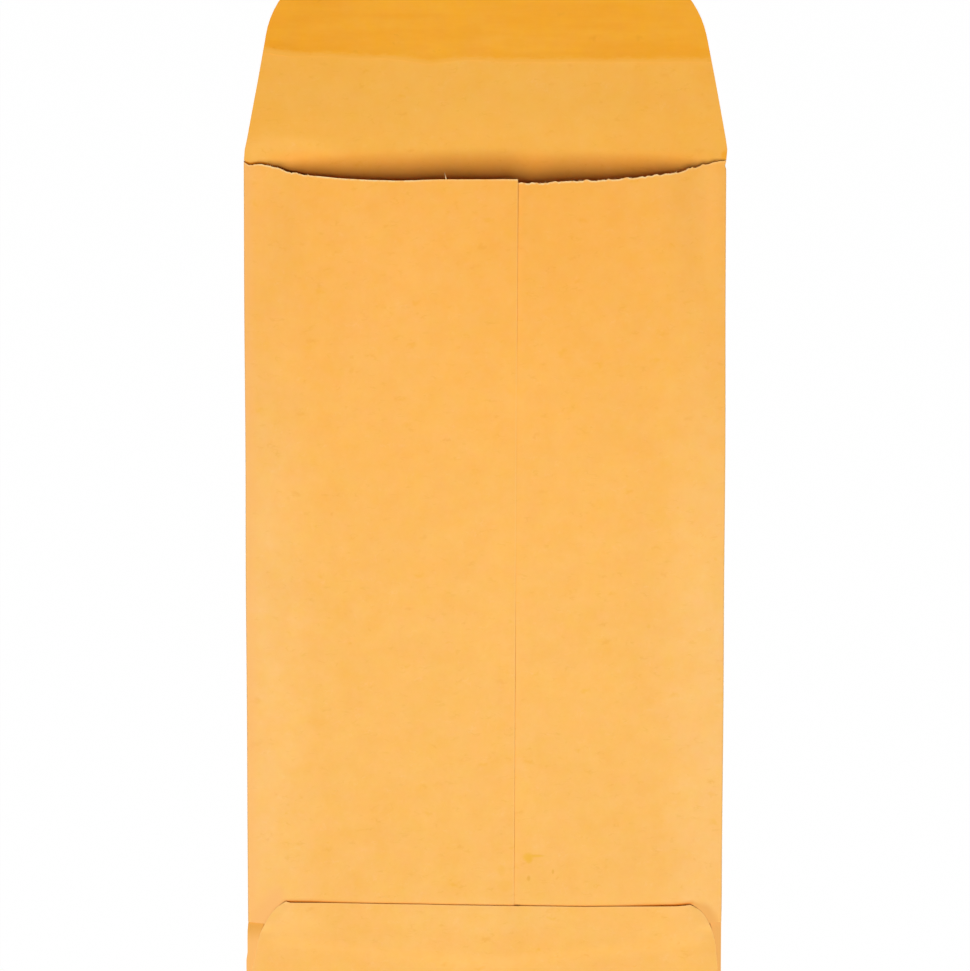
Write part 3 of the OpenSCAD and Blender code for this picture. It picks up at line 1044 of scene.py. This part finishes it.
def camera():
    data = bpy.data.cameras.new("camera")
    data.lens = LENS
    data.sensor_width = SENSOR
    data.sensor_fit = "HORIZONTAL"
    data.clip_start = 0.01
    eye = bpy.data.objects.new("camera", data)
    bpy.context.scene.collection.objects.link(eye)
    back = CAMERA_DISTANCE * math.sin(TILT)
    eye.location = Vector((AIM_X, AIM_Y + back, CAMERA_DISTANCE * math.cos(TILT))) * MM
    eye.rotation_euler = (-TILT, 0, 0)
    bpy.context.scene.camera = eye


def softbox(name, azimuth, elevation, distance, size, power):
    data = bpy.data.lights.new(name, "AREA")
    data.shape = "SQUARE"
    data.size = size
    data.energy = power
    lamp = bpy.data.objects.new(name, data)
    bpy.context.scene.collection.objects.link(lamp)
    flat = math.cos(elevation)
    toward = Vector((math.cos(azimuth) * flat, math.sin(azimuth) * flat, math.sin(elevation)))
    lamp.location = toward * distance
    lamp.rotation_euler = toward.to_track_quat("Z", "Y").to_euler()


def shown_white(tree):
    """Is 1 for the rays that show the backdrop: those of the camera, of gloss and of glass."""
    ray = add(tree, "ShaderNodeLightPath").outputs
    mirrored_too = math_node(tree, "MAXIMUM", ray["Is Camera Ray"], ray["Is Glossy Ray"])
    return math_node(tree, "MAXIMUM", mirrored_too, ray["Is Transmission Ray"])


def world():
    made = bpy.data.worlds.new("world")
    made.use_nodes = True
    tree = made.node_tree
    strength = scaled_plus(tree, shown_white(tree), 1.0 - FILL, FILL)
    background = tree.nodes["Background"]
    background.inputs["Color"].default_value = rgb(1, 1, 1)
    tree.links.new(strength, background.inputs["Strength"])
    bpy.context.scene.world = made


def floor():
    mesh = bpy.data.meshes.new("floor")
    half = FLOOR_HALF
    z = -FLOOR_DROP * MM
    corners = [(-half, -half, z), (half, -half, z), (half, half, z), (-half, half, z)]
    mesh.from_pydata(corners, [], [(0, 1, 2, 3)])
    plane = bpy.data.objects.new("floor", mesh)
    bpy.context.scene.collection.objects.link(plane)
    material, tree, shader, _ = new_material("white_floor", 0.9, 0.2)
    shader.inputs["Base Color"].default_value = rgb(0.95, 0.95, 0.95)
    glow = add(tree, "ShaderNodeEmission", {"Color": rgb(1, 1, 1), "Strength": 1.0})
    share = product(tree, shown_white(tree), FLOOR_GLOW)
    both = add(tree, "ShaderNodeMixShader", {0: share, 1: shader.outputs[0], 2: glow.outputs[0]})
    tree.links.new(both.outputs[0], tree.nodes["Material Output"].inputs["Surface"])
    mesh.materials.append(material)


outer = outer_paper()
inner = inner_paper()
rim = cut_rim()
gum_material = dry_gum()

sheet = kraft_sheet([inner, outer, rim])
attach(sheet, "root")
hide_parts("paper_sheet")

gum = gum_coat([gum_material, gum_material, gum_material])
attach(gum, "root")
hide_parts("seal_gum")

fibres = stray_fibres(pale_fibre())
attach(fibres, "root")

floor()
world()
softbox("key", KEY_AZIMUTH, KEY_ELEVATION, KEY_DISTANCE, KEY_SIZE, KEY_POWER)
camera()
bpy.context.scene.view_settings.view_transform = "Standard"
